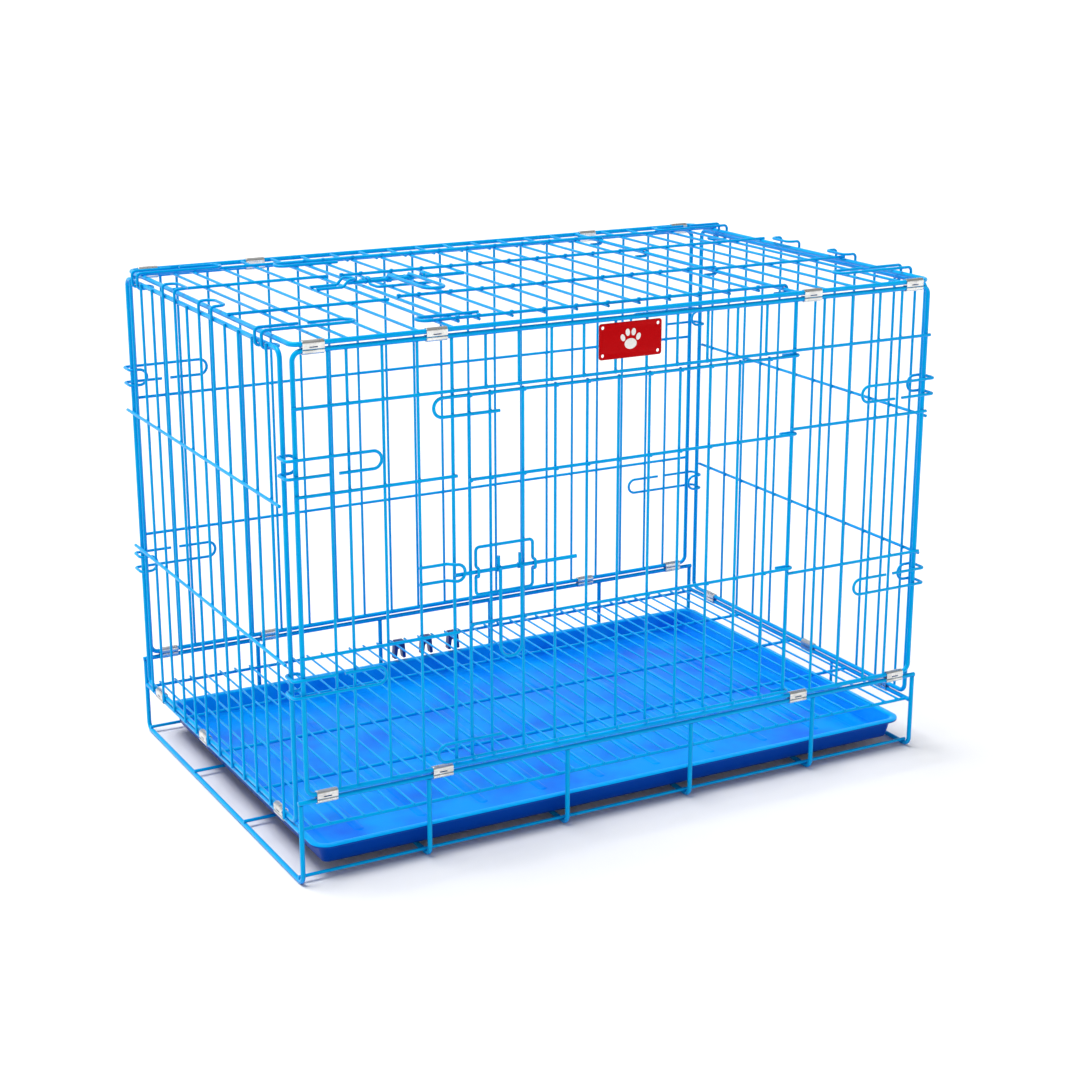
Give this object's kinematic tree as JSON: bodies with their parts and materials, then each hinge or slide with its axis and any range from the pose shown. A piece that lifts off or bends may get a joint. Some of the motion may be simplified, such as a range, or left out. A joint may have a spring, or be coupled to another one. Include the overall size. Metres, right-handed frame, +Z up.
{
  "type": "wire dog crate",
  "caption": "Folding wire dog crate with hinged walls and roof, a bolted door in the front and one in the roof, a raised wire floor and a pull-out plastic tray",
  "frame": {"origin": "centre of the bounding box's base, on the floor under the middle of the crate", "axes": "+X along the front from the door's jamb side to its hinge side, +Y from front to back, +Z up"},
  "size_m": [0.7662, 0.4884, 0.5537],
  "materials": {
    "coated_wire": "powder coated steel wire, satin blue",
    "plated_clip": "bright nickel plated sheet steel",
    "moulded_tray": "moulded blue plastic, semi gloss",
    "moulded_clip": "moulded dark blue plastic",
    "enamelled_plate": "red enamel on sheet metal"
  },
  "bodies": {
    "base": {"base_end_hoops": "coated_wire", "base_ribs": "coated_wire", "base_side_rails": "coated_wire", "base_end_rails": "coated_wire", "tray_runners": "coated_wire", "tray_stops": "coated_wire", "floor_bearers": "coated_wire", "floor_grid_wires": "coated_wire", "floor_grid_clips": "moulded_clip", "bottom_front_clips": "plated_clip", "bottom_back_clips": "plated_clip", "bottom_left_clips": "plated_clip", "bottom_right_clips": "plated_clip"},
    "tray_body": {"tray": "moulded_tray"},
    "front_wall": {"front_frame": "coated_wire", "front_left_wires": "coated_wire", "front_right_wires": "coated_wire", "front_lintel_wires": "coated_wire", "front_hinge_post": "coated_wire", "front_cross_wires": "coated_wire", "front_keeper": "coated_wire", "front_hook_rings": "coated_wire", "name_plate": "enamelled_plate"},
    "front_door": {"front_door_rails": "coated_wire", "front_door_wires": "coated_wire", "front_bolt_guide": "coated_wire"},
    "front_bolt_rod": {"front_bolt": "coated_wire"},
    "front_bolt_grip": {"front_bolt_handle": "coated_wire"},
    "back_wall": {"back_frame": "coated_wire", "back_wires": "coated_wire", "back_cross_wires": "coated_wire", "back_hook_rings": "coated_wire"},
    "left_wall": {"left_frame": "coated_wire", "left_wires": "coated_wire", "left_cross_wires": "coated_wire", "left_arches": "coated_wire"},
    "right_wall": {"right_frame": "coated_wire", "right_wires": "coated_wire", "right_cross_wires": "coated_wire", "right_arches": "coated_wire"},
    "roof": {"roof_frame": "coated_wire", "roof_left_wires": "coated_wire", "roof_right_wires": "coated_wire", "roof_border_wires": "coated_wire", "roof_hinge_post": "coated_wire", "roof_cross_wires": "coated_wire", "roof_keeper": "coated_wire", "roof_hook_rings": "coated_wire", "roof_front_clips": "plated_clip", "roof_back_clips": "plated_clip"},
    "roof_door": {"roof_door_rails": "coated_wire", "roof_door_wires": "coated_wire", "roof_bolt_guide": "coated_wire"},
    "roof_bolt_rod": {"roof_bolt": "coated_wire"},
    "roof_bolt_grip": {"roof_bolt_handle": "coated_wire"}
  },
  "joints": [
    {"name": "tray_slide", "type": "slide", "parent": "base", "child": "tray_body", "axis": [-1, 0, 0], "range_m": [0, 0.57]},
    {"name": "left_wall_fold", "type": "hinge", "parent": "base", "child": "left_wall", "pos_m": [-0.3746, 0.0028, 0.0635], "axis": [0, -1, 0], "range_deg": [-90, 0], "deforming": ["left_arches"]},
    {"name": "right_wall_fold", "type": "hinge", "parent": "base", "child": "right_wall", "pos_m": [0.3746, 0.0028, 0.0635], "axis": [0, 1, 0], "range_deg": [-88, 0], "deforming": ["right_arches"]},
    {"name": "box_fold", "type": "hinge", "parent": "base", "child": "front_wall", "pos_m": [0, -0.2322, 0.095], "axis": [1, 0, 0], "range_deg": [-85, 0], "deforming": ["front_hook_rings"]},
    {"name": "back_wall_fold", "type": "hinge", "parent": "base", "child": "back_wall", "pos_m": [0, 0.2378, 0.095], "axis": [1, 0, 0], "range_deg": [-85, 0], "deforming": ["back_hook_rings"]},
    {"name": "roof_fold", "type": "hinge", "parent": "front_wall", "child": "roof", "pos_m": [0, -0.2322, 0.535], "axis": [1, 0, 0], "range_deg": [0, 85], "deforming": ["roof_hook_rings"]},
    {"name": "front_door_swing", "type": "hinge", "parent": "front_wall", "child": "front_door", "pos_m": [0.1945, -0.2322, 0.3], "axis": [0, 0, 1], "range_deg": [0, 150], "deforming": ["front_keeper"]},
    {"name": "front_bolt_slide", "type": "slide", "parent": "front_door", "child": "front_bolt_rod", "axis": [1, 0, 0], "range_m": [0, 0.011]},
    {"name": "front_handle_swing", "type": "hinge", "parent": "front_bolt_rod", "child": "front_bolt_grip", "pos_m": [-0.147, -0.2385, 0.298], "axis": [-1, 0, 0], "range_deg": [0, 105]},
    {"name": "roof_door_swing", "type": "hinge", "parent": "roof", "child": "roof_door", "pos_m": [0.198, 0.0028, 0.5415], "axis": [0, 1, 0], "range_deg": [0, 150], "deforming": ["roof_keeper"]},
    {"name": "roof_bolt_slide", "type": "slide", "parent": "roof_door", "child": "roof_bolt_rod", "axis": [1, 0, 0], "range_m": [0, 0.011]},
    {"name": "roof_handle_swing", "type": "hinge", "parent": "roof_bolt_rod", "child": "roof_bolt_grip", "pos_m": [-0.1435, 0.0158, 0.5478], "axis": [-1, 0, 0], "range_deg": [0, 105]}
  ],
  "couplings": [
    {"joint": "back_wall_fold", "follows": "box_fold", "ratio": 1},
    {"joint": "roof_fold", "follows": "box_fold", "ratio": -1}
  ]
}
